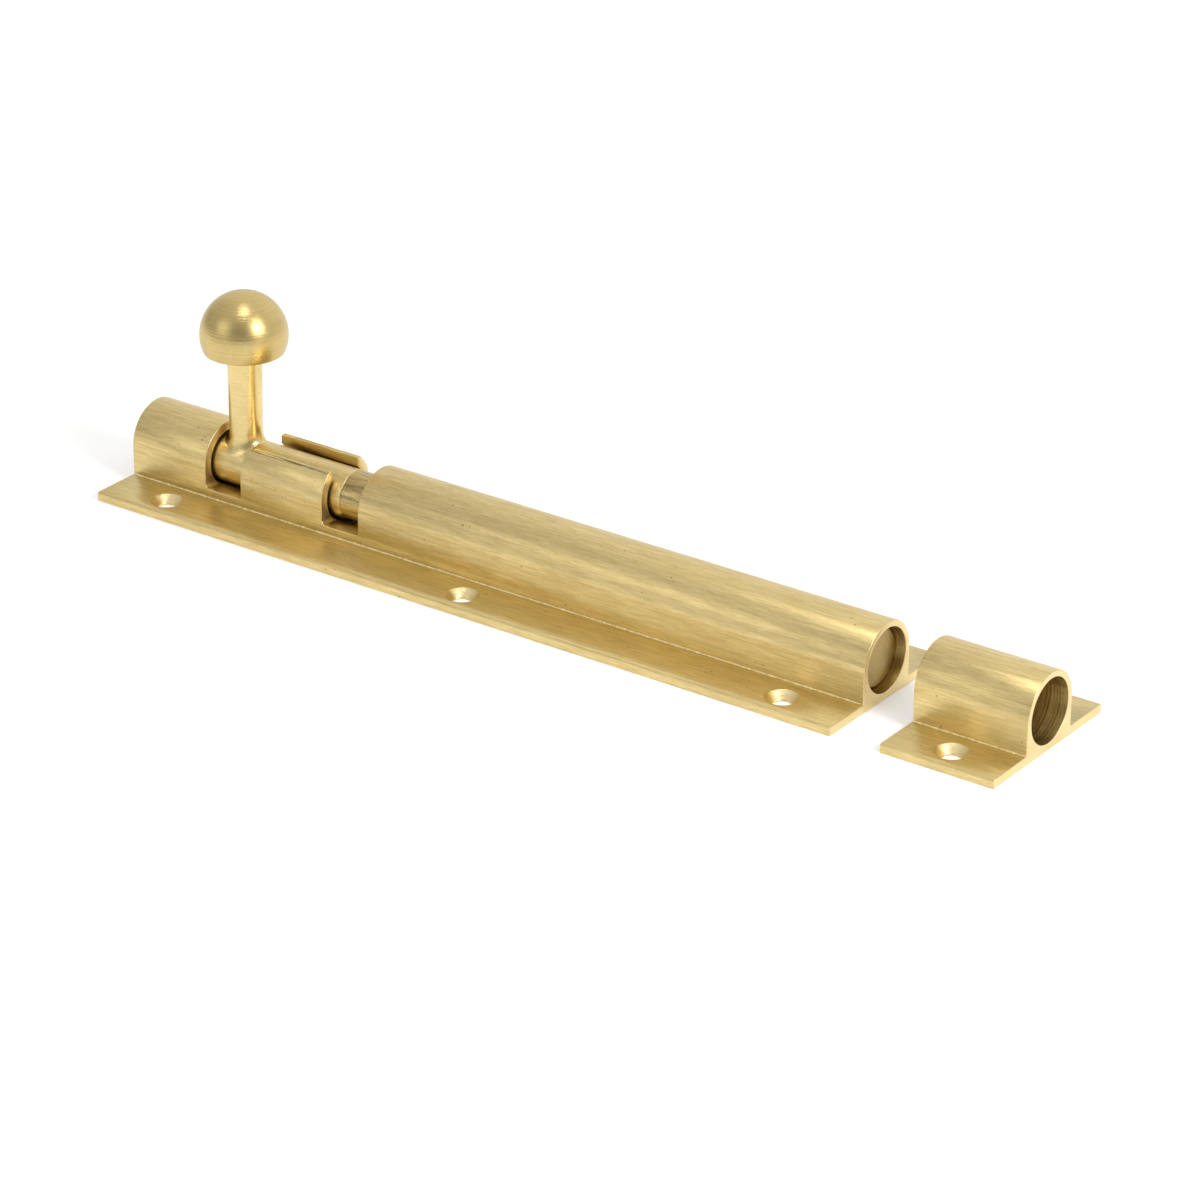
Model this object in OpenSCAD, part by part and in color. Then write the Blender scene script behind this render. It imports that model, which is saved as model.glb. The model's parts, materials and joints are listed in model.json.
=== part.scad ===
// Straight barrel bolt with a side knob, and its separate keeper.
// Millimetres. +X runs along the bolt towards the keeper, +Z away from the door, z = 0 is the mounting face.
// The origin is the centre of the body's screw pattern. The bolt is drawn retracted, with its knob lifted.

/* [Body] */
// Length of the body
body_len = 203; // [170:1:300]
// Width of the body's flange
flange_w = 44; // [42:0.5:70]
// Thickness of the flanges
flange_t = 2.1; // [2:0.1:5]
// Metal left under the bore
floor_t = 1.7; // [1:0.1:4]
// Wall of the tunnel around the bore
tunnel_wall = 1.5; // [1.2:0.1:3]
// Length of the short tunnel behind the window
rear_len = 21.8; // [12:0.2:30]
// Diameter of the bore around the bolt's neck, through the lugs and the short tunnel
neck_bore_d = 13.4; // [13:0.1:14]
// Width of the slot between the lugs
slot_w = 9.6; // [9:0.1:10]
// Height of the lugs over the bolt's axis
lug_h = 6.9; // [6.4:0.1:7.2]

/* [Bolt] */
// Diameter of the bolt's front bar
bar_d = 14.8; // [13:0.1:17]
// Diameter of the bolt where the window shows it
neck_d = 12; // [11:0.1:12.8]
// How far the bolt travels
throw = 34.3; // [26:0.1:44]
// How far the bolt's tip sits inside the body when drawn back
tip_recess = 2.2; // [0:0.1:6]
// Bevel on the bolt's two ends
tip_chamfer = 0.8; // [0.3:0.1:1.5]

/* [Knob] */
// Distance from the bolt's axis to the middle of the knob
knob_reach = 32; // [28:0.5:45]
// Diameter of the knob
knob_d = 20.6; // [16:0.2:24]
// Distance from the knob's middle to its flat back
knob_back = 4.5; // [3:0.1:6]
// Diameter of the stem at its waist
stem_waist_d = 7.9; // [6.6:0.1:8.4]
// Diameter of the stem at the knob
stem_top_d = 8.3; // [7:0.1:8.6]
// Length of the stem's foot along the bolt
foot_len = 10; // [9:0.1:12]

/* [Screw holes] */
// Diameter of the screw holes
screw_hole_d = 4.2; // [3:0.1:5]
// Diameter of the countersinks at the face
countersink_d = 7.7; // [6:0.1:8.2]
// From a hole's centre to the flange's long edge
hole_to_side = 6; // [5:0.1:8]
// From the outer holes' centres to the body's ends
hole_to_end = 16; // [8:0.5:30]

/* [Keeper] */
// Length of the keeper
keeper_len = 28; // [20:0.5:40]
// Gap between the body and the keeper
keeper_gap = 12.4; // [2:0.1:20]

/* [Fits] */
// Radial clearance of the bolt's bar in the body and the keeper
bar_clear = 0.1; // [0.05:0.01:0.3]
// Radial running clearance of the friction ring, inside and outside
ring_clear = 0.05; // [0.02:0.01:0.1]
// Clearance on each side of the stem between the lugs
slot_clear = 0.2; // [0.1:0.05:0.5]
// Clearance on each side of the stem's foot in a notch
notch_clear = 0.25; // [0.1:0.05:0.6]

/* [Hidden] */
$fn = 96;
EPS = 0.01;
OVER = 1;                               // how far a cutter runs past the face it opens
BRASS = [0.79, 0.67, 0.40];
BRASS_DARK = [0.66, 0.54, 0.30];
BRASS_LIGHT = [0.87, 0.76, 0.50];

bar_r = bar_d / 2;
neck_r = neck_d / 2;
bore_r = bar_r + bar_clear;
neck_bore_r = neck_bore_d / 2;
tunnel_r = bore_r + tunnel_wall;
axis_z = floor_t + bore_r;              // height of the bolt's axis over the mounting face
body_x0 = -body_len / 2;
body_x1 = body_len / 2;
flange_bevel = 0.35;                    // on the flange's upper long edges

// The window: two notches with a pair of lugs between them
notch_w = foot_len + 2 * notch_clear;
window_x0 = body_x0 + rear_len;
lug_x0 = window_x0 + notch_w;
lug_x1 = window_x0 + throw;
window_x1 = lug_x1 + notch_w;
notch_depth = 5;                        // from the bolt's axis down to the notches' floor
notch_floor_z = axis_z - notch_depth;
lug_top_z = axis_z + lug_h;             // the lugs' upper edges are cut level
lug_round_r = 2.5;                      // near lug's corner, where the knob turns into the rear notch
lug_corner_r = 0.6;                     // the lugs' other upper corners
far_lug_step = 1.2;                     // the far lug starts this much further forward
notch_fillet_r = 1.2;

// Screw holes
hole_y = flange_w / 2 - hole_to_side;
hole_r = screw_hole_d / 2;
sink_r = countersink_d / 2;
hole_xs = [-body_len / 2 + hole_to_end, 0, body_len / 2 - hole_to_end];

// Keeper
keeper_x0 = body_x1 + keeper_gap;
keeper_x1 = keeper_x0 + keeper_len;

// Bolt: a rear carrier for the stem, screwed into the front bar
tip_x = body_x1 - tip_recess;
tail_x = body_x0 + tip_recess;
stem_x = window_x0 + notch_w / 2;       // the stem stands in the middle of the rear notch
join_from_lug = 2.9;
join_x = lug_x1 + join_from_lug;        // seam between the carrier and the front bar
shoulder_depth = 4;
shoulder_x = window_x1 + shoulder_depth; // the bar steps up to its full diameter inside the tunnel
shoulder_chamfer = 0.6;
bore_step_gap = 1.5;                    // the bore widens this much behind the bar's shoulder
bore_step_x = shoulder_x - bore_step_gap;
spigot_r = 4;
spigot_len = 14;

// Friction ring: split, sprung against the bore, held in a groove of the bar
ring_from_shoulder = 14;
ring_x = shoulder_x + ring_from_shoulder;
ring_w = 5;
ring_split = 2;
groove_depth = 1.4;
groove_r = bar_r - groove_depth;
groove_side_clear = 0.1;

// Stem, with a thread at each end
thread_r = 2.5;
foot_thread_len = 8;
knob_thread_len = 9;
foot_r = foot_len / 2;
foot_w = slot_w - 2 * slot_clear;       // width of the foot across the bolt
waist_r = stem_waist_d / 2;
stem_top_r = stem_top_d / 2;
flare_h = 2.6;                          // height over which the foot spreads
waist_len = 4;                          // straight length above the flare
thread_overlap = 0.5;                   // a thread starts this far inside the shaft
stem_top = knob_reach - knob_back;      // radius at which the stem meets the knob's back
knob_r = knob_d / 2;
knob_rim_h = 0.7;                       // slope of the knob's back, from its rim to the stem
knob_seat = 0.6;                        // flat of the knob's back around the stem

// Turns a shape drawn along Z so that it lies along X.
module along_x() {
    rotate([0, 90, 0]) children();
}

// A cylinder on the bolt's axis, from x0 to x1.
module on_axis(x0, x1, r) {
    translate([x0, 0, axis_z]) along_x() cylinder(h = x1 - x0, r = r);
}

// A cone or taper on the bolt's axis.
module taper_on_axis(x0, x1, r0, r1) {
    translate([x0, 0, axis_z]) along_x() cylinder(h = x1 - x0, r1 = r0, r2 = r1);
}

// Outline of the body and keeper across the bolt: a flange and a round-topped tunnel, in Y and Z.
module profile() {
    half = flange_w / 2;
    polygon([[-half, 0], [half, 0], [half, flange_t - flange_bevel], [half - flange_bevel, flange_t],
             [-half + flange_bevel, flange_t], [-half, flange_t - flange_bevel]]);
    translate([-tunnel_r, 0]) square([2 * tunnel_r, axis_z]);
    translate([0, axis_z]) circle(tunnel_r);
}

// The profile carried from x0 to x1.
module rail(x0, x1) {
    translate([x0, 0, 0]) rotate([90, 0, 90]) linear_extrude(x1 - x0) profile();
}

// A countersunk screw hole at [x, y].
module screw_hole(x, y) {
    translate([x, y, -OVER]) cylinder(h = flange_t + 2 * OVER, r = hole_r);
    translate([x, y, flange_t - (sink_r - hole_r)])
        cylinder(h = sink_r - hole_r + EPS, r1 = hole_r, r2 = sink_r + EPS);
}

// A concave fillet of radius r for an inside corner at [x, z], opening towards dir along X and upwards.
module corner_fillet(x, z, r, dir) {
    translate([x, z]) difference() {
        translate([dir > 0 ? -EPS : -r, -EPS]) square([r + EPS, r + EPS]);
        translate([dir * r, r]) circle(r);
    }
}

// Side view of a lug from x0 to lug_x1, in X and Z. Its rear upper corner has radius r.
module lug_outline(x0, r) {
    low = notch_floor_z - OVER;
    difference() {
        translate([x0, low]) square([lug_x1 - x0, lug_top_z - low]);
        translate([x0, lug_top_z - r]) difference() {
            translate([-OVER, 0]) square([r + OVER, r + OVER]);
            translate([r, 0]) circle(r);
        }
        translate([lug_x1 - lug_corner_r, lug_top_z - lug_corner_r]) difference() {
            square(lug_corner_r + OVER);
            circle(lug_corner_r);
        }
    }
}

// Side view of what the window takes away around a lug that starts at lug_start.
module window_outline(lug_start, lug_r) {
    difference() {
        translate([window_x0, notch_floor_z])
            square([window_x1 - window_x0, axis_z + tunnel_r + OVER - notch_floor_z]);
        lug_outline(lug_start, lug_r);
        corner_fillet(window_x0, notch_floor_z, notch_fillet_r, 1);
        corner_fillet(lug_start, notch_floor_z, notch_fillet_r, -1);
        corner_fillet(lug_x1, notch_floor_z, notch_fillet_r, 1);
        corner_fillet(window_x1, notch_floor_z, notch_fillet_r, -1);
    }
}

// The body: flange, tunnel, stepped bore, window, lugs and six screw holes.
module housing() {
    side_depth = tunnel_r + OVER;
    color(BRASS) difference() {
        rail(body_x0, body_x1);
        on_axis(body_x0 - OVER, bore_step_x + EPS, neck_bore_r);
        on_axis(bore_step_x, body_x1 + OVER, bore_r);
        rotate([90, 0, 0]) linear_extrude(side_depth) window_outline(lug_x0, lug_round_r);
        translate([0, side_depth, 0]) rotate([90, 0, 0]) linear_extrude(side_depth)
            window_outline(lug_x0 + far_lug_step, lug_corner_r);
        translate([lug_x0 - OVER, -slot_w / 2, axis_z])
            cube([lug_x1 - lug_x0 + 2 * OVER, slot_w, tunnel_r + OVER]);
        for (x = hole_xs, side = [-1, 1]) screw_hole(x, side * hole_y);
    }
}

// The keeper: a short length of the same rail, with its bore and two screw holes.
module keeper() {
    color(BRASS) difference() {
        rail(keeper_x0, keeper_x1);
        on_axis(keeper_x0 - OVER, keeper_x1 + OVER, bore_r);
        for (side = [-1, 1]) screw_hole((keeper_x0 + keeper_x1) / 2, side * hole_y);
    }
}

// Rear half of the bolt, which carries the stem, with a threaded spigot for the front bar.
module carrier_bar() {
    color(BRASS) difference() {
        union() {
            taper_on_axis(tail_x, tail_x + tip_chamfer, neck_r - tip_chamfer, neck_r);
            on_axis(tail_x + tip_chamfer, join_x, neck_r);
            on_axis(join_x - EPS, join_x + spigot_len, spigot_r);
        }
        translate([stem_x, 0, axis_z + neck_r - foot_thread_len])
            cylinder(h = foot_thread_len + OVER, r = thread_r);
    }
}

// Front half of the bolt: the bar that shoots into the keeper, its neck and the ring's groove.
module shoot_bar() {
    ring_x0 = ring_x - groove_side_clear;
    ring_x1 = ring_x + ring_w + groove_side_clear;
    color(BRASS_LIGHT) difference() {
        union() {
            on_axis(join_x, shoulder_x + EPS, neck_r);
            taper_on_axis(shoulder_x, shoulder_x + shoulder_chamfer, bar_r - shoulder_chamfer, bar_r);
            on_axis(shoulder_x + shoulder_chamfer, tip_x - tip_chamfer, bar_r);
            taper_on_axis(tip_x - tip_chamfer, tip_x, bar_r, bar_r - tip_chamfer);
        }
        on_axis(join_x - OVER, join_x + spigot_len, spigot_r);
        difference() {
            on_axis(ring_x0, ring_x1, bar_r + OVER);
            on_axis(ring_x0 - OVER, ring_x1 + OVER, groove_r);
        }
    }
}

// Split friction ring between the bar's groove and the bore.
module friction_ring() {
    color(BRASS_DARK) difference() {
        on_axis(ring_x, ring_x + ring_w, bore_r - ring_clear);
        on_axis(ring_x - OVER, ring_x + ring_w + OVER, groove_r + ring_clear);
        translate([ring_x - OVER, -ring_split / 2, 0])
            cube([ring_w + 2 * OVER, ring_split, axis_z]);
    }
}

// Half outline of the stem's shaft, as radius and height over the bolt's axis: foot, two tapers, waist, top.
module stem_outline() {
    foot_h = neck_r - OVER;
    knee = [waist_r + (foot_r - waist_r) / 3, neck_r + flare_h / 3];
    polygon([[0, foot_h], [foot_r, foot_h], [foot_r, neck_r], knee, [waist_r, neck_r + flare_h],
             [waist_r, neck_r + flare_h + waist_len], [stem_top_r, stem_top], [0, stem_top]]);
}

// Stem: a waisted shaft whose foot straddles the bolt, with a thread at each end.
module knob_stem() {
    color(BRASS) translate([stem_x, 0, axis_z]) {
        difference() {
            intersection() {
                rotate_extrude() stem_outline();
                translate([-foot_r, -foot_w / 2, 0]) cube([foot_len, foot_w, stem_top]);
            }
            translate([-foot_r - OVER, 0, 0]) along_x() cylinder(h = foot_len + 2 * OVER, r = neck_r);
        }
        translate([0, 0, neck_r - foot_thread_len])
            cylinder(h = foot_thread_len + thread_overlap, r = thread_r);
        translate([0, 0, stem_top - thread_overlap])
            cylinder(h = knob_thread_len + thread_overlap, r = thread_r);
    }
}

// Knob: a ball with a flat back and a crisp rim, tapped for the stem.
module knob() {
    color(BRASS) translate([stem_x, 0, axis_z + knob_reach]) difference() {
        intersection() {
            sphere(knob_r);
            union() {
                translate([0, 0, -knob_back + knob_rim_h]) cylinder(h = 2 * knob_r, r = knob_r + OVER);
                translate([0, 0, -knob_back])
                    cylinder(h = knob_rim_h + EPS, r1 = stem_top_r + knob_seat, r2 = knob_r);
            }
        }
        translate([0, 0, -knob_back - OVER]) cylinder(h = knob_thread_len + OVER, r = thread_r);
    }
}

housing();
keeper();
carrier_bar();
shoot_bar();
friction_ring();
knob_stem();
knob();
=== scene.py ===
"""A straight barrel bolt in satin brass, with its keeper, on a white table. Lengths are in metres."""

import json
import math

import bmesh
import bpy
import numpy as np
from mathutils import Matrix, Vector


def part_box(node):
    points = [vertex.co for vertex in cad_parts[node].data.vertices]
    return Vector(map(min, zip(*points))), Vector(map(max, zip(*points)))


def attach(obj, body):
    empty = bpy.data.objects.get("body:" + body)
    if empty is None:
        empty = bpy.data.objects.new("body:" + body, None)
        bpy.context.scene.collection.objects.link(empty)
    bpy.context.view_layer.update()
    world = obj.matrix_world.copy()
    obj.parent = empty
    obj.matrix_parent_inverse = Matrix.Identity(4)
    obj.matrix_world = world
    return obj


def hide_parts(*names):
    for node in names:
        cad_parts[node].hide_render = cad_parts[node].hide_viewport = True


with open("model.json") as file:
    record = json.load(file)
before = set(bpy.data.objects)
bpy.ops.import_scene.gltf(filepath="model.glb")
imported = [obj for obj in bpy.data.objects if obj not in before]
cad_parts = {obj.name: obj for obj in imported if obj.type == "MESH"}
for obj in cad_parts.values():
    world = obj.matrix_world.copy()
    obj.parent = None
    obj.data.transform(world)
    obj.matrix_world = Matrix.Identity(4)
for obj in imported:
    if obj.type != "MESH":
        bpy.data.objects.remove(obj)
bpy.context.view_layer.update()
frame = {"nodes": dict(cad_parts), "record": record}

MM = 0.001

# Places read from the frame
HOUSING_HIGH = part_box("housing")[1]
CARRIER_LOW, CARRIER_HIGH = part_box("carrier_bar")
SHOOT_LOW, SHOOT_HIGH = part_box("shoot_bar")
RING_LOW, RING_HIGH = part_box("friction_ring")
STEM_LOW, STEM_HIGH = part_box("knob_stem")
KNOB_LOW, KNOB_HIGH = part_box("knob")

MOUNTS = {mount["name"]: mount for mount in frame["record"]["mounts"]}
BORE_R = MOUNTS["keeper_bore"]["dims"]["r_mm"] * MM
AXIS_Z = MOUNTS["keeper_bore"]["pos_m"][2]
BODY_SPACING_X = MOUNTS["body_screws"]["dims"]["spacing_x_mm"] * MM
HOLE_SPACING_Y = MOUNTS["body_screws"]["dims"]["spacing_y_mm"] * MM
KEEPER_MIDDLE_X = MOUNTS["keeper_screws"]["pos_m"][0]

TUNNEL_R = HOUSING_HIGH.z - AXIS_Z
BAR_R = (SHOOT_HIGH.z - SHOOT_LOW.z) / 2
NECK_R = (CARRIER_HIGH.y - CARRIER_LOW.y) / 2
STEM_X = (STEM_LOW.x + STEM_HIGH.x) / 2
FOOT_R = (STEM_HIGH.x - STEM_LOW.x) / 2
KNOB_R = (KNOB_HIGH.x - KNOB_LOW.x) / 2
KNOB_Z = KNOB_HIGH.z - KNOB_R
KNOB_BACK_Z = KNOB_LOW.z

# Small sizes of the finish
EDGE_BEVEL = 0.2 * MM
CRISP_FROM_DEG = 25.0
BEVEL_FROM_DEG = 43.0
FLANGE_T = 2.1 * MM
COUNTERSINK_R = 3.85 * MM
JOIN_X = -42.5 * MM
SHOULDER_X = -30.9 * MM
SPIGOT_R = 4.0 * MM
TIP_CHAMFER = 0.8 * MM
WAIST_R = 3.95 * MM
STEM_TOP_R = 4.15 * MM
FLARE_H = 3.0 * MM
SKIRT_R = 5.2 * MM
KNOB_RIM_H = 0.65 * MM
KNOB_RIM_EDGE = 0.2 * MM
KNOB_SEAT = 0.6 * MM
KNOB_OVERLAP = 0.4 * MM
JOIN_EDGE = 0.15 * MM
SHOULDER_CHAMFER = 0.6 * MM
GROOVE_DEPTH = 1.4 * MM
GROOVE_LAND = 1.0 * MM
RING_GAP = 0.1 * MM
TIP_SOFT = 0.03 * MM
TIP_EDGE = 0.1 * MM
FOOT_DEPTH = 0.3 * MM
FOOT_LIFT = 0.01 * MM
MERGE_DISTANCE = 0.001 * MM
BORE_MARGIN = 0.05 * MM
SEAM_R = 0.3 * MM
SEAM_END_GAP = 0.3 * MM
SEAM_STEP = 0.35 * MM
SEAM_DEPTH = 0.15 * MM
TABLE_HALF = 3.0
TABLE_DROP = 0.02 * MM


# ---------------------------------------------------------------- surfaces


def add_grid_mesh(name, points, close_v=False):
    """Puts a grid of points, shaped (rows, columns, 3), into a mesh of quads. close_v joins the last column
    to the first."""
    rows, columns = points.shape[:2]
    index = np.arange(rows * columns).reshape(rows, columns)
    if close_v:
        index = np.hstack([index, index[:, :1]])
    quads = np.stack(
        [index[:-1, :-1], index[:-1, 1:], index[1:, 1:], index[1:, :-1]], axis=-1
    )
    mesh = bpy.data.meshes.new(name)
    mesh.from_pydata(points.reshape(-1, 3), [], quads.reshape(-1, 4))
    return mesh


def finish_mesh(name, mesh, sharp_deg=35.0):
    """Merges the poles, turns the faces outwards, smooths all but sharp edges and links the object."""
    work = bmesh.new()
    work.from_mesh(mesh)
    bmesh.ops.remove_doubles(work, verts=work.verts, dist=MERGE_DISTANCE)
    bmesh.ops.recalc_face_normals(work, faces=work.faces)
    work.to_mesh(mesh)
    work.free()
    mesh.polygons.foreach_set("use_smooth", np.ones(len(mesh.polygons), bool))
    mesh.set_sharp_from_angle(angle=math.radians(sharp_deg))
    piece = bpy.data.objects.new(name, mesh)
    bpy.context.scene.collection.objects.link(piece)
    return piece


def arc(centre, radius, start_deg, end_deg, count):
    """Points (a, r) on a circular arc: the centre plus radius times (cos, sin) of an angle that runs evenly
    from start to end."""
    angle = np.radians(np.linspace(start_deg, end_deg, count))
    return np.stack(
        [centre[0] + radius * np.cos(angle), centre[1] + radius * np.sin(angle)], axis=1
    )


def line(start, end, count):
    """count points evenly along a straight line."""
    share = np.linspace(0.0, 1.0, count)[:, None]
    return np.array(start) * (1 - share) + np.array(end) * share


def turned(name, profile, axis, centre, around=128):
    """Surface of revolution: each profile point (a, r) goes a along the axis and r out from it, at every
    angle around."""
    angle = np.linspace(0.0, 2 * np.pi, around, endpoint=False)
    along, out = profile[:, 0][:, None], profile[:, 1][:, None]
    flat = np.ones_like(angle)[None, :]
    parts = {"x": (0, 1, 2), "z": (2, 0, 1)}[axis]
    points = np.zeros((len(profile), around, 3))
    points[..., parts[0]] = along * flat
    points[..., parts[1]] = out * np.cos(angle)[None, :]
    points[..., parts[2]] = out * np.sin(angle)[None, :]
    points += np.array(centre)
    return add_grid_mesh(name, points, close_v=True)


# ---------------------------------------------------------------- node groups


class Graph:
    """Small helper for building a node tree: it adds nodes, sets their inputs and links them."""

    def __init__(self, tree):
        self.tree = tree

    def node(self, kind, inputs=None, **settings):
        made = self.tree.nodes.new(kind)
        for key, value in settings.items():
            setattr(made, key, value)
        for key, value in (inputs or {}).items():
            if isinstance(value, bpy.types.NodeSocket):
                self.tree.links.new(value, made.inputs[key])
            else:
                made.inputs[key].default_value = value
        return made

    def math(self, operation, a, b=0.0, c=0.0):
        return self.node(
            "ShaderNodeMath", {0: a, 1: b, 2: c}, operation=operation
        ).outputs[0]

    def scaled(self, vector, scale):
        return self.node(
            "ShaderNodeVectorMath", {0: vector, 1: scale}, operation="MULTIPLY"
        ).outputs[0]

    def noise(self, vector, scale, detail=4.0, roughness=0.6):
        return self.node(
            "ShaderNodeTexNoise",
            {"Vector": vector, "Scale": scale, "Detail": detail, "Roughness": roughness},
        ).outputs["Fac"]

    def spread(self, value, low, high, new_low=0.0, new_high=1.0):
        return self.node(
            "ShaderNodeMapRange",
            {0: value, 1: low, 2: high, 3: new_low, 4: new_high},
        ).outputs[0]

    def link(self, start, end):
        self.tree.links.new(start, end)


def new_group(name, inputs, outputs):
    """An empty shader node group with named inputs (name, kind, default) and outputs (name, kind)."""
    tree = bpy.data.node_groups.new(name, "ShaderNodeTree")
    for label, kind, default in inputs:
        socket = tree.interface.new_socket(label, in_out="INPUT", socket_type=kind)
        if default is not None:
            socket.default_value = default
    for label, kind in outputs:
        tree.interface.new_socket(label, in_out="OUTPUT", socket_type=kind)
    graph = Graph(tree)
    entry = graph.node("NodeGroupInput")
    leave = graph.node("NodeGroupOutput")
    return graph, entry.outputs, leave.inputs


def make_belt_group():
    """Lines of an abrasive belt that ran along X: noise stretched along X, in a fine and a coarse layer, with
    darker streaks and soft clouds that follow the same way."""
    graph, given, out = new_group(
        "belt_lines",
        [("Vector", "NodeSocketVector", None), ("Fineness", "NodeSocketFloat", 1.0)],
        [
            ("Lines", "NodeSocketFloat"),
            ("Cloud", "NodeSocketFloat"),
            ("Streak", "NodeSocketFloat"),
        ],
    )
    fine = graph.scaled(given["Vector"], (170.0, 2500.0, 2500.0))
    coarse = graph.scaled(given["Vector"], (70.0, 1300.0, 1300.0))
    streak = graph.scaled(given["Vector"], (160.0, 2000.0, 2000.0))
    cloud = graph.scaled(given["Vector"], (75.0, 190.0, 190.0))
    fine_noise = graph.noise(fine, given["Fineness"], 3.0, 0.75)
    coarse_noise = graph.noise(coarse, given["Fineness"], 4.0, 0.65)
    both = graph.math("ADD", fine_noise, graph.math("MULTIPLY", coarse_noise, 0.4))
    graph.link(graph.spread(both, 0.48, 0.92), out["Lines"])
    graph.link(graph.spread(graph.noise(cloud, 1.0, 6.0, 0.66), 0.34, 0.70), out["Cloud"])
    graph.link(graph.spread(graph.noise(streak, 1.0, 6.0, 0.72), 0.50, 0.74), out["Streak"])
    return graph.tree


def make_turned_group():
    """Turning lines: noise that depends only on one number, such as the distance along an axis or the angle
    from a pole."""
    graph, given, out = new_group(
        "turning_lines",
        [("Place", "NodeSocketFloat", 0.0), ("Density", "NodeSocketFloat", 1000.0)],
        [("Lines", "NodeSocketFloat")],
    )
    place = graph.math("MULTIPLY", given["Place"], given["Density"])
    noise = graph.node(
        "ShaderNodeTexNoise",
        {"W": place, "Scale": 1.0, "Detail": 3.0, "Roughness": 0.75},
        noise_dimensions="1D",
    ).outputs["Fac"]
    graph.link(graph.spread(noise, 0.25, 0.75), out["Lines"])
    return graph.tree


def make_tarnish_group():
    """Handled brass: soft clouds of darker, warmer metal and a few small dark pits."""
    graph, given, out = new_group(
        "tarnish",
        [
            ("Vector", "NodeSocketVector", None),
            ("Cloud Scale", "NodeSocketFloat", 90.0),
            ("Pit Scale", "NodeSocketFloat", 1500.0),
        ],
        [("Cloud", "NodeSocketFloat"), ("Pits", "NodeSocketFloat")],
    )
    cloud = graph.noise(given["Vector"], given["Cloud Scale"], 5.0, 0.6)
    graph.link(graph.spread(cloud, 0.35, 0.7), out["Cloud"])
    cells = graph.node(
        "ShaderNodeTexVoronoi",
        {"Vector": given["Vector"], "Scale": given["Pit Scale"]},
        feature="F1",
    ).outputs["Distance"]
    patch = graph.spread(graph.noise(given["Vector"], 260.0, 2.0, 0.5), 0.6, 0.68)
    near = graph.spread(cells, 0.10, 0.22, 1.0, 0.0)
    graph.link(graph.math("MULTIPLY", near, patch), out["Pits"])
    return graph.tree


BELT_LINES = make_belt_group()
TURNING_LINES = make_turned_group()
TARNISH = make_tarnish_group()


# ---------------------------------------------------------------- materials

BRASS_PALE = (0.92, 0.76, 0.44, 1.0)
BRASS_LIGHT = (0.88, 0.70, 0.335, 1.0)
BRASS_MID = (0.74, 0.575, 0.245, 1.0)
BRASS_DULL = (0.62, 0.475, 0.195, 1.0)
BRASS_WORN = (0.56, 0.42, 0.165, 1.0)
BRASS_DARK = (0.42, 0.31, 0.125, 1.0)
BRASS_SHADE = (0.24, 0.165, 0.07, 1.0)
TABLE_GLOW = 0.14


def start_material(name, metallic=1.0):
    """A material with one Principled shader. Returns the material, its graph, the shader's inputs and the
    Object coordinate."""
    material = bpy.data.materials.new(name)
    material.use_nodes = True
    tree = material.node_tree
    tree.nodes.clear()
    graph = Graph(tree)
    shader = graph.node("ShaderNodeBsdfPrincipled", {"Metallic": metallic})
    end = graph.node("ShaderNodeOutputMaterial")
    graph.link(shader.outputs[0], end.inputs["Surface"])
    place = graph.node("ShaderNodeTexCoord").outputs["Object"]
    return material, graph, shader.inputs, place


def use_group(graph, tree, **inputs):
    """Places a node group and sets its inputs. An underscore in a name stands for a space."""
    made = graph.node("ShaderNodeGroup", node_tree=tree)
    for key, value in inputs.items():
        socket = made.inputs[key.replace("_", " ")]
        if isinstance(value, bpy.types.NodeSocket):
            graph.link(value, socket)
        else:
            socket.default_value = value
    return made.outputs


def blend_colour(graph, share, a, b):
    """The colour a, moving to b as share goes from 0 to 1."""
    mix = graph.node("ShaderNodeMix", data_type="RGBA")
    for key, value in {0: share, 6: a, 7: b}.items():
        if isinstance(value, bpy.types.NodeSocket):
            graph.link(value, mix.inputs[key])
        else:
            mix.inputs[key].default_value = value
    return mix.outputs[2]


def add_bump(graph, shader, height, distance, strength=1.0):
    bump = graph.node(
        "ShaderNodeBump", {"Height": height, "Distance": distance, "Strength": strength}
    )
    graph.link(bump.outputs[0], shader["Normal"])


def satin_brass():
    """Brass brushed along X on a belt, with streaks and soft dark smudges that follow the brushing."""
    material, graph, shader, place = start_material("satin_brass")
    belt = use_group(graph, BELT_LINES, Vector=place, Fineness=1.0)
    wear = use_group(graph, TARNISH, Vector=place, Cloud_Scale=70.0, Pit_Scale=800.0)
    colour = blend_colour(graph, belt["Lines"], BRASS_DULL, BRASS_LIGHT)
    cloud = graph.math("MULTIPLY", belt["Cloud"], 0.18)
    colour = blend_colour(graph, cloud, colour, BRASS_DARK)
    streak = graph.math("MULTIPLY", belt["Streak"], 0.16)
    colour = blend_colour(graph, streak, colour, BRASS_DARK)
    pits = graph.math("MULTIPLY", wear["Pits"], 0.8)
    colour = blend_colour(graph, pits, colour, BRASS_SHADE)
    graph.link(colour, shader["Base Color"])
    rough = graph.spread(belt["Cloud"], 0.0, 1.0, 0.30, 0.40)
    graph.link(rough, shader["Roughness"])
    add_bump(graph, shader, belt["Lines"], 0.02 * MM)
    return material


def axis_distance(graph, place, centre_y, centre_z):
    """Distance of a point from the line through (centre_y, centre_z) that runs along X."""
    split = graph.node("ShaderNodeSeparateXYZ", {0: place}).outputs
    y = graph.math("SUBTRACT", split["Y"], centre_y)
    z = graph.math("SUBTRACT", split["Z"], centre_z)
    squares = graph.math("ADD", graph.math("MULTIPLY", y, y), graph.math("MULTIPLY", z, z))
    return graph.math("SQRT", squares)


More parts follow.
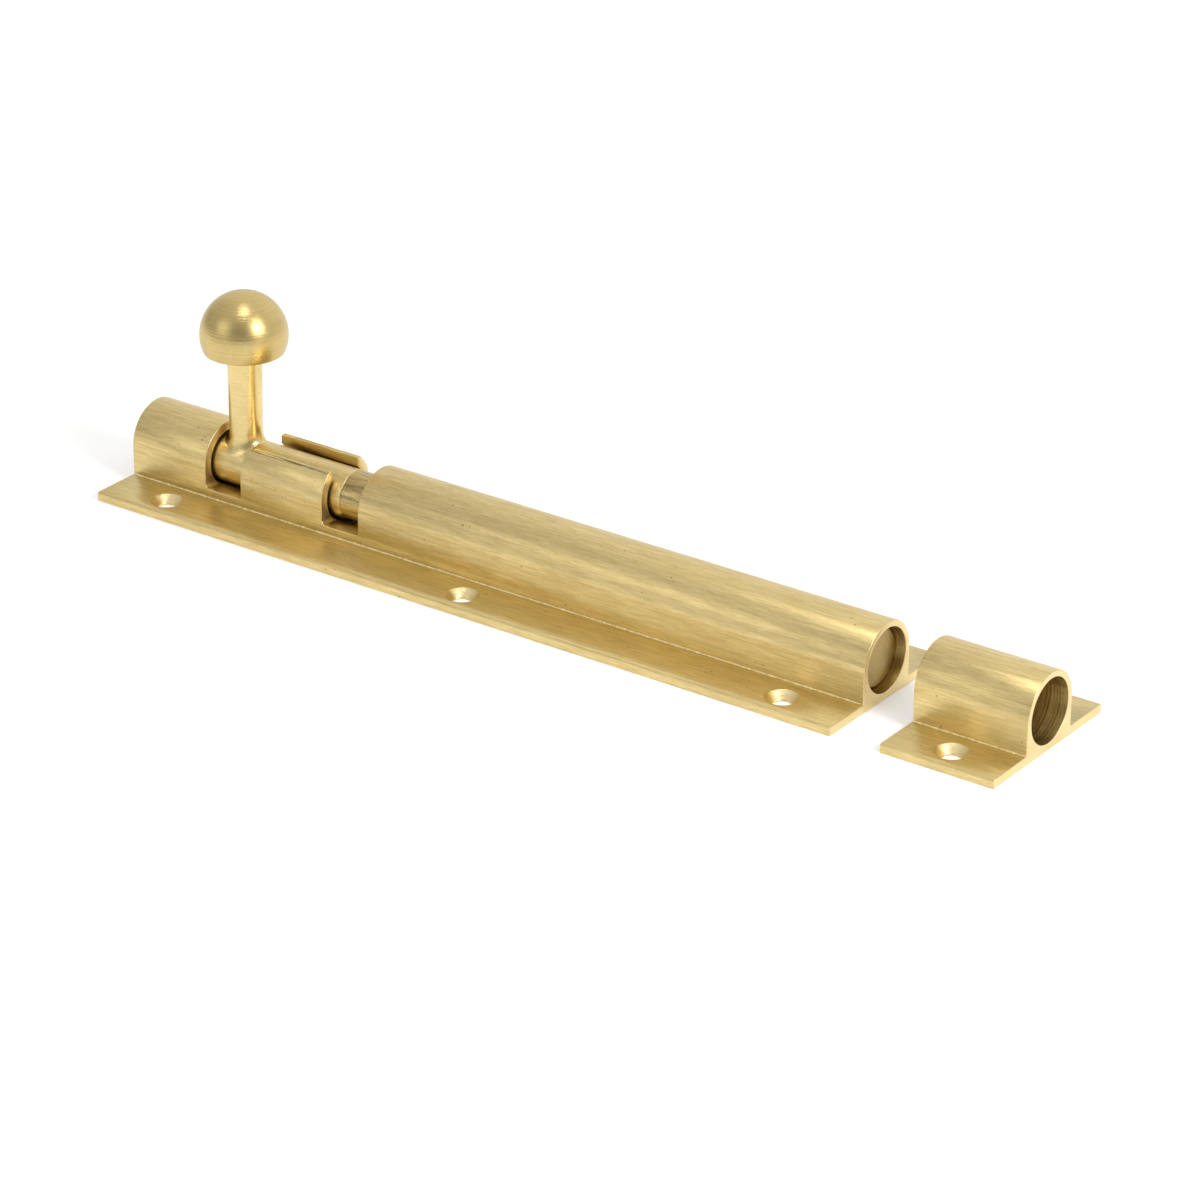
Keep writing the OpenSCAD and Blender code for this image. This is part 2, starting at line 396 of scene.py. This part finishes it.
def bored_brass_shaded():
    """The inside of the bore: rings left by the boring tool, on a base darker than the brushed faces that is
    painted shade for the hollow of the bore, with soft dark clouds.
    """
    material, graph, shader, place = start_material("bored_brass_shaded")
    split = graph.node("ShaderNodeSeparateXYZ", {0: place}).outputs
    rings = use_group(graph, TURNING_LINES, Place=split["X"], Density=1700.0)
    wear = use_group(graph, TARNISH, Vector=place, Cloud_Scale=160.0, Pit_Scale=2400.0)
    # Painted shade: the base runs from DARK to MID, darker than the brushed faces outside the bore.
    colour = blend_colour(graph, rings["Lines"], BRASS_DARK, BRASS_MID)
    colour = blend_colour(graph, graph.math("MULTIPLY", wear["Cloud"], 0.6), colour, BRASS_SHADE)
    graph.link(colour, shader["Base Color"])
    graph.link(graph.spread(rings["Lines"], 0.0, 1.0, 0.26, 0.40), shader["Roughness"])
    add_bump(graph, shader, rings["Lines"], 0.05 * MM)
    return material


def sunk_brass():
    """Countersinks: a bright cone with the rings of the cutter."""
    material, graph, shader, place = start_material("sunk_brass")
    split = graph.node("ShaderNodeSeparateXYZ", {0: place}).outputs
    rings = use_group(graph, TURNING_LINES, Place=split["Z"], Density=5200.0)
    colour = blend_colour(graph, rings["Lines"], BRASS_MID, BRASS_PALE)
    graph.link(colour, shader["Base Color"])
    graph.link(graph.spread(rings["Lines"], 0.0, 1.0, 0.28, 0.40), shader["Roughness"])
    add_bump(graph, shader, rings["Lines"], 0.02 * MM)
    return material


def sawn_brass_painted_light():
    """Ends of the rail: cut across and linished along Y, duller than the brushed faces, and painted paler
    than them: a painted reflection of the bright table that these faces see.
    """
    material, graph, shader, place = start_material("sawn_brass_painted_light")
    turned_place = graph.node(
        "ShaderNodeMapping", {"Vector": place, "Rotation": (0.0, 0.0, math.radians(90))}
    ).outputs[0]
    belt = use_group(graph, BELT_LINES, Vector=turned_place, Fineness=0.8)
    # Painted reflection: the LIGHT to PALE base makes the end faces paler, standing in for the bright table
    # they reflect.
    colour = blend_colour(graph, belt["Lines"], BRASS_LIGHT, BRASS_PALE)
    smudge = graph.math("MULTIPLY", belt["Cloud"], 0.2)
    colour = blend_colour(graph, smudge, colour, BRASS_DARK)
    graph.link(colour, shader["Base Color"])
    graph.link(graph.spread(belt["Lines"], 0.0, 1.0, 0.36, 0.46), shader["Roughness"])
    add_bump(graph, shader, belt["Lines"], 0.006 * MM)
    return material


def turned_brass(centre):
    """A ball finished in the lathe: fine circles about an upright axis through centre, then rubbed with fine
    paper."""
    material, graph, shader, place = start_material("turned_brass")
    moved = graph.node(
        "ShaderNodeMapping", {"Vector": place, "Location": tuple(-c for c in centre)}
    ).outputs[0]
    split = graph.node("ShaderNodeSeparateXYZ", {0: moved}).outputs
    xx = graph.math("MULTIPLY", split["X"], split["X"])
    yy = graph.math("MULTIPLY", split["Y"], split["Y"])
    out = graph.math("SQRT", graph.math("ADD", xx, yy))
    angle = graph.math("ARCTAN2", out, split["Z"])
    rings = use_group(graph, TURNING_LINES, Place=angle, Density=20.0)
    wear = use_group(graph, TARNISH, Vector=moved, Cloud_Scale=120.0, Pit_Scale=2200.0)
    grain = graph.math("MULTIPLY", graph.noise(moved, 1600.0, 3.0, 0.7), 0.5)
    mottle = graph.math("ADD", graph.math("MULTIPLY", rings["Lines"], 0.6), grain)
    colour = blend_colour(graph, mottle, BRASS_WORN, BRASS_MID)
    cloud = graph.math("MULTIPLY", wear["Cloud"], 0.35)
    colour = blend_colour(graph, cloud, colour, BRASS_DARK)
    graph.link(colour, shader["Base Color"])
    rough = graph.spread(wear["Cloud"], 0.0, 1.0, 0.24, 0.34)
    graph.link(rough, shader["Roughness"])
    add_bump(graph, shader, graph.math("ADD", rings["Lines"], grain), 0.022 * MM)
    return material


def rubbed_brass():
    """The stem: rubbed round with paper, so its lines follow the height over the bolt."""
    material, graph, shader, place = start_material("rubbed_brass")
    split = graph.node("ShaderNodeSeparateXYZ", {0: place}).outputs
    rings = use_group(graph, TURNING_LINES, Place=split["Z"], Density=2600.0)
    wear = use_group(graph, TARNISH, Vector=place, Cloud_Scale=150.0, Pit_Scale=2200.0)
    colour = blend_colour(graph, rings["Lines"], BRASS_MID, BRASS_LIGHT)
    cloud = graph.math("MULTIPLY", wear["Cloud"], 0.25)
    colour = blend_colour(graph, cloud, colour, BRASS_DARK)
    graph.link(colour, shader["Base Color"])
    graph.link(graph.spread(wear["Cloud"], 0.0, 1.0, 0.21, 0.30), shader["Roughness"])
    add_bump(graph, shader, rings["Lines"], 0.008 * MM)
    return material


def seam_brass():
    """Bright beads in the corner of the rail, between dull ones."""
    material, graph, shader, place = start_material("seam_brass")
    bead = graph.noise(graph.scaled(place, (900.0, 300.0, 300.0)), 1.0, 3.0, 0.6)
    colour = blend_colour(graph, graph.spread(bead, 0.38, 0.62), BRASS_MID, BRASS_PALE)
    graph.link(colour, shader["Base Color"])
    graph.link(graph.spread(bead, 0.3, 0.7, 0.22, 0.42), shader["Roughness"])
    add_bump(graph, shader, bead, 0.03 * MM)
    return material


def bright_brass():
    """Drawn bar: smoother than the brushed faces, with long die lines, on a base painted dark towards
    BRASS_SHADE with dark streaks along X. This is painted shade for the bar where it shows in the notch and
    between the parts.
    """
    material, graph, shader, place = start_material("bright_brass")
    belt = use_group(graph, BELT_LINES, Vector=place, Fineness=0.35)
    # Painted shade: the base runs from BRASS_SHADE to MID, far darker than the brushed faces, and the streaks
    # below darken it further.
    colour = blend_colour(graph, belt["Lines"], BRASS_SHADE, BRASS_MID)
    streak = graph.math("MULTIPLY", belt["Streak"], 0.7)
    colour = blend_colour(graph, streak, colour, BRASS_SHADE)
    graph.link(colour, shader["Base Color"])
    graph.link(graph.spread(belt["Lines"], 0.0, 1.0, 0.14, 0.22), shader["Roughness"])
    add_bump(graph, shader, belt["Lines"], 0.05 * MM)
    return material


def faced_brass():
    """The bar's end, faced in the lathe: rings about the bolt's axis."""
    material, graph, shader, place = start_material("faced_brass")
    out = axis_distance(graph, place, 0.0, AXIS_Z)
    rings = use_group(graph, TURNING_LINES, Place=out, Density=2000.0)
    wear = use_group(graph, TARNISH, Vector=place, Cloud_Scale=180.0, Pit_Scale=2600.0)
    colour = blend_colour(graph, rings["Lines"], BRASS_DARK, BRASS_WORN)
    colour = blend_colour(graph, graph.math("MULTIPLY", wear["Cloud"], 0.5), colour, BRASS_SHADE)
    graph.link(colour, shader["Base Color"])
    graph.link(graph.spread(rings["Lines"], 0.0, 1.0, 0.30, 0.42), shader["Roughness"])
    add_bump(graph, shader, rings["Lines"], 0.012 * MM)
    return material


def table_white():
    """The pale table, lit a little from below."""
    material, graph, shader, place = start_material("table_white", metallic=0.0)
    speck = graph.noise(place, 40.0, 2.0, 0.5)
    colour = blend_colour(graph, speck, (0.93, 0.93, 0.93, 1.0), (0.95, 0.95, 0.95, 1.0))
    graph.link(colour, shader["Base Color"])
    shader["Roughness"].default_value = 0.7
    shader["Specular IOR Level"].default_value = 0.2
    shader["Emission Color"].default_value = (1.0, 1.0, 1.0, 1.0)
    shader["Emission Strength"].default_value = TABLE_GLOW
    return material


SATIN = satin_brass()
BORED_SHADED = bored_brass_shaded()
SUNK = sunk_brass()
SAWN_PAINTED_LIGHT = sawn_brass_painted_light()
DRAWN_SHADED = bright_brass()
FACED = faced_brass()
SEAM_FINISH = seam_brass()
KNOB_FINISH = turned_brass((STEM_X, 0.0, KNOB_Z))
STEM_FINISH = rubbed_brass()


# ---------------------------------------------------------------- the body and the keeper


def hole_centres(piece_name):
    """Centres of the screw holes on the flange, as rows of (x, y)."""
    if piece_name == "keeper":
        xs = [KEEPER_MIDDLE_X]
    else:
        xs = [-BODY_SPACING_X / 2, 0.0, BODY_SPACING_X / 2]
    half = HOLE_SPACING_Y / 2
    return np.array([(x, side * half) for x in xs for side in (-1, 1)])


def region_of_faces(mesh, centres):
    """Which finish each face takes, from its centre and normal: 0 brushed, 1 bore, 2 countersink, 3 cut
    end."""
    count = len(mesh.polygons)
    middle = np.empty(count * 3)
    normal = np.empty(count * 3)
    mesh.polygons.foreach_get("center", middle)
    mesh.polygons.foreach_get("normal", normal)
    middle, normal = middle.reshape(-1, 3), normal.reshape(-1, 3)
    region = np.zeros(count, np.int32)
    region[np.abs(normal[:, 0]) > 0.9] = 3
    from_axis = np.hypot(middle[:, 1], middle[:, 2] - AXIS_Z)
    inwards = normal[:, 1] * middle[:, 1] + normal[:, 2] * (middle[:, 2] - AXIS_Z) < 0
    region[(from_axis < BORE_R + BORE_MARGIN) & inwards & (np.abs(normal[:, 0]) < 0.5)] = 1
    offset = middle[:, None, :2] - centres[None, :, :]
    gap = np.linalg.norm(offset, axis=2).min(axis=1)
    in_hole = (gap < COUNTERSINK_R) & (np.abs(normal[:, 2]) < 0.95)
    region[in_hole & (middle[:, 2] < FLANGE_T)] = 2
    return region


def edges_turning_over(mesh, degrees):
    """Which edges have faces that meet at more than an angle, as an array of booleans."""
    mesh.set_sharp_from_angle(angle=math.radians(degrees))
    sharp = np.zeros(len(mesh.edges), bool)
    mesh.edges.foreach_get("use_edge_sharp", sharp)
    return sharp


def rail_piece(node):
    """The body or the keeper with its edges broken: the CAD shape, merged, its flats dissolved, and every
    edge over BEVEL_FROM_DEG bevelled. Flatter corners, such as the tops of the lugs, stay crisp."""
    mesh = frame["nodes"][node].data.copy()
    mesh.name = node + "_finished"
    work = bmesh.new()
    work.from_mesh(mesh)
    bmesh.ops.remove_doubles(work, verts=work.verts, dist=MERGE_DISTANCE)
    bmesh.ops.dissolve_limit(
        work, angle_limit=math.radians(0.5), verts=work.verts, edges=work.edges
    )
    bmesh.ops.recalc_face_normals(work, faces=work.faces)
    work.to_mesh(mesh)
    work.free()
    mesh.materials.clear()
    for material in (SATIN, BORED_SHADED, SUNK, SAWN_PAINTED_LIGHT):
        mesh.materials.append(material)
    mesh.update()
    mesh.polygons.foreach_set("material_index", region_of_faces(mesh, hole_centres(node)))
    mesh.polygons.foreach_set("use_smooth", np.ones(len(mesh.polygons), bool))
    crisp = edges_turning_over(mesh, CRISP_FROM_DEG) & ~edges_turning_over(mesh, BEVEL_FROM_DEG)
    mesh.edges.foreach_set("use_edge_sharp", crisp)
    piece = bpy.data.objects.new(node + "_finished", mesh)
    bpy.context.scene.collection.objects.link(piece)
    bevel = piece.modifiers.new("broken_edges", "BEVEL")
    bevel.width = EDGE_BEVEL
    bevel.segments = 3
    bevel.limit_method = "ANGLE"
    bevel.angle_limit = math.radians(BEVEL_FROM_DEG)
    bevel.use_clamp_overlap = False
    bevel.harden_normals = True
    bevel.miter_outer = "MITER_SHARP"
    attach(piece, node)
    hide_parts(node)
    return piece


# ---------------------------------------------------------------- the bolt


def carrier_piece():
    """Rear half of the bolt: a bar with a bevelled tail and a square front edge at the seam."""
    tail = CARRIER_LOW.x
    edge = JOIN_EDGE
    profile = np.vstack(
        [
            line((tail, 0.0), (tail, NECK_R - TIP_CHAMFER), 6),
            line((tail + TIP_CHAMFER, NECK_R), (JOIN_X - edge, NECK_R), 60),
            arc((JOIN_X - edge, NECK_R - edge), edge, 90, 0, 6),
            line((JOIN_X, NECK_R - 2 * edge), (JOIN_X, SPIGOT_R), 3),
            line((CARRIER_HIGH.x, SPIGOT_R), (CARRIER_HIGH.x, 0.0), 4),
        ]
    )
    mesh = turned("carrier_bar_finished", profile, "x", (0.0, 0.0, AXIS_Z))
    piece = finish_mesh("carrier_bar_finished", mesh)
    piece.data.materials.append(SATIN)
    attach(piece, "bolt")
    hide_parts("carrier_bar")
    return piece


def shoot_piece():
    """Front half of the bolt: neck, shoulder, groove for the ring, bar and bevelled tip, faced flat at the
    end."""
    tip = SHOOT_HIGH.x
    edge = JOIN_EDGE
    groove_low, groove_high = RING_LOW.x - RING_GAP, RING_HIGH.x + RING_GAP
    groove_r = BAR_R - GROOVE_DEPTH
    bevel_r = BAR_R - TIP_CHAMFER
    profile = np.vstack(
        [
            line((CARRIER_HIGH.x, 0.0), (CARRIER_HIGH.x, SPIGOT_R), 3),
            line((JOIN_X, SPIGOT_R), (JOIN_X, NECK_R - 2 * edge), 3),
            arc((JOIN_X + edge, NECK_R - edge), edge, 180, 90, 6),
            line((JOIN_X + 2 * edge, NECK_R), (SHOULDER_X, NECK_R), 20),
            line((SHOULDER_X, BAR_R - SHOULDER_CHAMFER), (SHOULDER_X + SHOULDER_CHAMFER, BAR_R), 3),
            line((groove_low, BAR_R), (groove_low, groove_r), 3),
            line((groove_high, groove_r), (groove_high, BAR_R), 3),
            line((RING_HIGH.x + GROOVE_LAND, BAR_R), (tip - TIP_CHAMFER - TIP_EDGE, BAR_R), 60),
            line((tip - TIP_CHAMFER, BAR_R - TIP_SOFT), (tip - TIP_EDGE, bevel_r + TIP_SOFT), 4),
            line((tip, bevel_r - TIP_EDGE), (tip, 0.0), 24),
        ]
    )
    mesh = turned("shoot_bar_finished", profile, "x", (0.0, 0.0, AXIS_Z))
    piece = finish_mesh("shoot_bar_finished", mesh, 25.0)
    piece.data.materials.append(DRAWN_SHADED)
    piece.data.materials.append(FACED)
    count = len(piece.data.polygons)
    middle = np.empty(count * 3)
    piece.data.polygons.foreach_get("center", middle)
    piece.data.polygons.foreach_set(
        "material_index", (middle[0::3] > tip - TIP_SOFT).astype(np.int32)
    )
    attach(piece, "bolt")
    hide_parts("shoot_bar")
    return piece


def stem_piece():
    """Stem. The foot is a concave quarter ellipse in every direction: as t runs from 90 degrees to 0, the
    half-lengths along and across the bolt exceed the waist's by a share 1 - cos t, and the height over the
    bolt's own round surface grows by 1 - sin t, so the foot runs into the bar with no edge. Above it the
    shaft goes straight up and widens a little towards the knob."""
    around = 128
    angle = np.linspace(0.0, 2 * np.pi, around, endpoint=False)[None, :]
    t = np.radians(np.linspace(90.0, 0.0, 30))[:, None]
    spread = 1.0 - np.cos(t)
    x = (WAIST_R + (FOOT_R - WAIST_R) * spread) * np.cos(angle)
    y = (WAIST_R + (SKIRT_R - WAIST_R) * spread) * np.sin(angle)
    z = np.sqrt(NECK_R**2 - y**2) + FLARE_H * (1.0 - np.sin(t)) + FOOT_LIFT
    flare = np.stack([x, y, z], axis=-1)
    buried = flare[:1] - np.array([0.0, 0.0, FOOT_DEPTH])

    share = np.linspace(0.0, 1.0, 60)[1:, None]
    top = KNOB_BACK_Z - AXIS_Z + KNOB_OVERLAP
    radius = WAIST_R + (STEM_TOP_R - WAIST_R) * share**2
    shaft_z = flare[-1, :, 2][None, :] * (1 - share) + top * share
    shaft = np.stack([radius * np.cos(angle), radius * np.sin(angle), shaft_z], axis=-1)
    closed_top = np.stack([0 * angle, 0 * angle, 0 * angle + top], axis=-1)
    closed_foot = buried * np.array([0.0, 0.0, 1.0])
    closed_foot[..., 2] = buried[..., 2].min()
    points = np.concatenate([closed_foot, buried, flare, shaft, closed_top])
    points = points + np.array([STEM_X, 0.0, AXIS_Z])
    mesh = add_grid_mesh("knob_stem_finished", points, close_v=True)
    piece = finish_mesh("knob_stem_finished", mesh, 60.0)
    piece.data.materials.append(STEM_FINISH)
    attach(piece, "bolt")
    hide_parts("knob_stem")
    return piece


def knob_piece():
    """Knob: a ball turned about the stem's axis, cut off behind its middle, with a crisp rim and a back that
    slopes in to the stem."""
    back = KNOB_BACK_Z - KNOB_Z
    rim_z = back + KNOB_RIM_H
    rim_angle = math.degrees(math.asin(rim_z / KNOB_R))
    dome = arc((0.0, 0.0), KNOB_R, rim_angle, 90.0, 100)[::-1, ::-1]
    rim_r = dome[-1, 1]
    edge = KNOB_RIM_EDGE
    profile = np.vstack(
        [
            dome[:-1],
            arc((rim_z, rim_r - edge), edge, 90, 180, 5),
            line((rim_z - edge, rim_r - 2 * edge), (back, STEM_TOP_R + KNOB_SEAT), 8),
            line((back, STEM_TOP_R), (back, 0.0), 4),
        ]
    )
    mesh = turned("knob_finished", profile, "z", (STEM_X, 0.0, KNOB_Z), around=160)
    piece = finish_mesh("knob_finished", mesh, 40.0)
    piece.data.materials.append(KNOB_FINISH)
    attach(piece, "bolt")
    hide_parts("knob")
    return piece


def seam_piece(node, body, side):
    """The line of metal left in the corner between the flange and the tunnel: a small hollow round whose
    radius swells and shrinks along X by a sum of sines, closed behind by a point inside the metal."""
    low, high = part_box(node)
    count = int((high.x - low.x) / SEAM_STEP)
    x = np.linspace(low.x + SEAM_END_GAP, high.x - SEAM_END_GAP, count)
    phase = 1.7 * side + (0.9 if node == "keeper" else 0.0)
    slow = np.sin(x * 2100 + phase) * np.sin(x * 830 + 2 * phase)
    wave = slow + 0.6 * np.sin(x * 4700 + 3 * phase)
    radius = (SEAM_R * (1.0 + 0.28 * np.clip(wave, -1.0, 1.6)))[:, None]
    angle = np.radians(np.linspace(0.0, 90.0, 7))[None, :]
    y = TUNNEL_R + radius * (1.0 - np.cos(angle))
    z = FLANGE_T + radius * (1.0 - np.sin(angle))
    inside = np.full((count, 1), SEAM_DEPTH)
    y = np.hstack([y[:, ::-1], TUNNEL_R - inside])
    z = np.hstack([z[:, ::-1], FLANGE_T - inside])
    rows = np.stack([np.repeat(x[:, None], y.shape[1], axis=1), y * side, z], axis=-1)
    ends = [rows[:1].mean(axis=1, keepdims=True), rows[-1:].mean(axis=1, keepdims=True)]
    caps = [np.repeat(end, rows.shape[1], axis=1) for end in ends]
    points = np.concatenate([caps[0], rows, caps[1]])
    name = node + ("_seam_near" if side < 0 else "_seam_far")
    piece = finish_mesh(name, add_grid_mesh(name, points, close_v=True), 50.0)
    piece.data.materials.append(SEAM_FINISH)
    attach(piece, body)
    return piece


for rail_node in ("housing", "keeper"):
    rail_piece(rail_node)
carrier_piece()
shoot_piece()
stem_piece()
knob_piece()
for seam_node in ("housing", "keeper"):
    for seam_side in (-1, 1):
        seam_piece(seam_node, seam_node, seam_side)

# The friction ring sits inside the bore and takes the bore's finish, painted shade included.
ring_node = frame["nodes"]["friction_ring"]
ring_node.data.materials.clear()
ring_node.data.materials.append(BORED_SHADED)


# ---------------------------------------------------------------- table, light and camera


def add_table():
    """A large flat square under the object."""
    half, z = TABLE_HALF, -TABLE_DROP
    mesh = bpy.data.meshes.new("table")
    corners = [(-half, -half, z), (half, -half, z), (half, half, z), (-half, half, z)]
    mesh.from_pydata(corners, [], [(0, 1, 2, 3)])
    table = bpy.data.objects.new("table", mesh)
    bpy.context.scene.collection.objects.link(table)
    mesh.materials.append(table_white())


def add_area_light(name, place, target, size, power, colour=(1.0, 1.0, 1.0)):
    light = bpy.data.lights.new(name, "AREA")
    light.shape = "RECTANGLE"
    light.size, light.size_y = size
    light.energy = power
    light.color = colour
    lamp = bpy.data.objects.new(name, light)
    bpy.context.scene.collection.objects.link(lamp)
    lamp.location = place
    lamp.rotation_euler = (Vector(target) - Vector(place)).to_track_quat("-Z", "Y").to_euler()


def add_room():
    """The room's light by direction: brighter overhead and at the far side, dimmer around the camera."""
    world = bpy.data.worlds.new("white_room")
    bpy.context.scene.world = world
    world.use_nodes = True
    graph = Graph(world.node_tree)
    back = world.node_tree.nodes["Background"]
    way = graph.node("ShaderNodeTexCoord").outputs["Generated"]
    split = graph.node("ShaderNodeSeparateXYZ", {0: way}).outputs
    above = graph.spread(split["Z"], 0.0, 1.0, 0.0, ROOM_ABOVE)
    beyond = graph.spread(split["Y"], 0.0, 1.0, 0.0, ROOM_BEYOND)
    facing = graph.node(
        "ShaderNodeVectorMath", {0: way, 1: DIM_SIDE}, operation="DOT_PRODUCT"
    ).outputs["Value"]
    dim = graph.spread(facing, 0.70, 0.98, 0.0, ROOM_DIM)
    light = graph.math("ADD", graph.math("ADD", above, beyond), ROOM_BASE)
    graph.link(graph.math("SUBTRACT", light, dim), back.inputs["Strength"])
    back.inputs["Color"].default_value = (1.0, 1.0, 1.0, 1.0)


def add_light():
    """One broad light at the right, a small one overhead and a large weak one low at the front left."""
    add_room()
    add_area_light("right_box", (0.95, -0.15, 0.66), (0.0, 0.0, 0.0), (0.40, 0.40), 6.0)
    add_area_light("overhead", (0.05, -0.10, 1.0), (-0.02, 0.0, 0.0), (0.25, 0.25), 1.2)
    add_area_light("left_box", (-0.36, -0.74, 0.40), (0.06, 0.0, 0.0), (0.50, 0.35), 0.5)


ROOM_BASE, ROOM_ABOVE, ROOM_BEYOND, ROOM_DIM = 0.46, 0.30, 0.50, 0.22
DIM_SIDE = (0.521, -0.737, 0.430)
CAMERA_PLACE = (0.59078, -0.79853, 0.46785)
CAMERA_AZIMUTH, CAMERA_ELEVATION, CAMERA_ROLL = -35.2566, 25.4661, 0.5562
CAMERA_LENS_MM = 146.308


def add_camera():
    """A long lens, from in front and to the right. Its axes come from an azimuth, an elevation and a roll."""
    azimuth, elevation, roll = (
        math.radians(a) for a in (CAMERA_AZIMUTH, CAMERA_ELEVATION, CAMERA_ROLL)
    )
    forward = Vector(
        (
            math.sin(azimuth) * math.cos(elevation),
            math.cos(azimuth) * math.cos(elevation),
            -math.sin(elevation),
        )
    )
    right = Vector((math.cos(azimuth), -math.sin(azimuth), 0.0))
    up = right.cross(forward)
    right, up = (
        right * math.cos(roll) + up * math.sin(roll),
        up * math.cos(roll) - right * math.sin(roll),
    )
    data = bpy.data.cameras.new("camera")
    data.lens = CAMERA_LENS_MM
    data.sensor_width = 36.0
    camera = bpy.data.objects.new("camera", data)
    bpy.context.scene.collection.objects.link(camera)
    camera.matrix_world = Matrix.Translation(CAMERA_PLACE) @ Matrix(
        (right, up, -forward)
    ).transposed().to_4x4()
    bpy.context.scene.camera = camera


add_table()
add_light()
add_camera()
bpy.context.scene.view_settings.view_transform = "Standard"
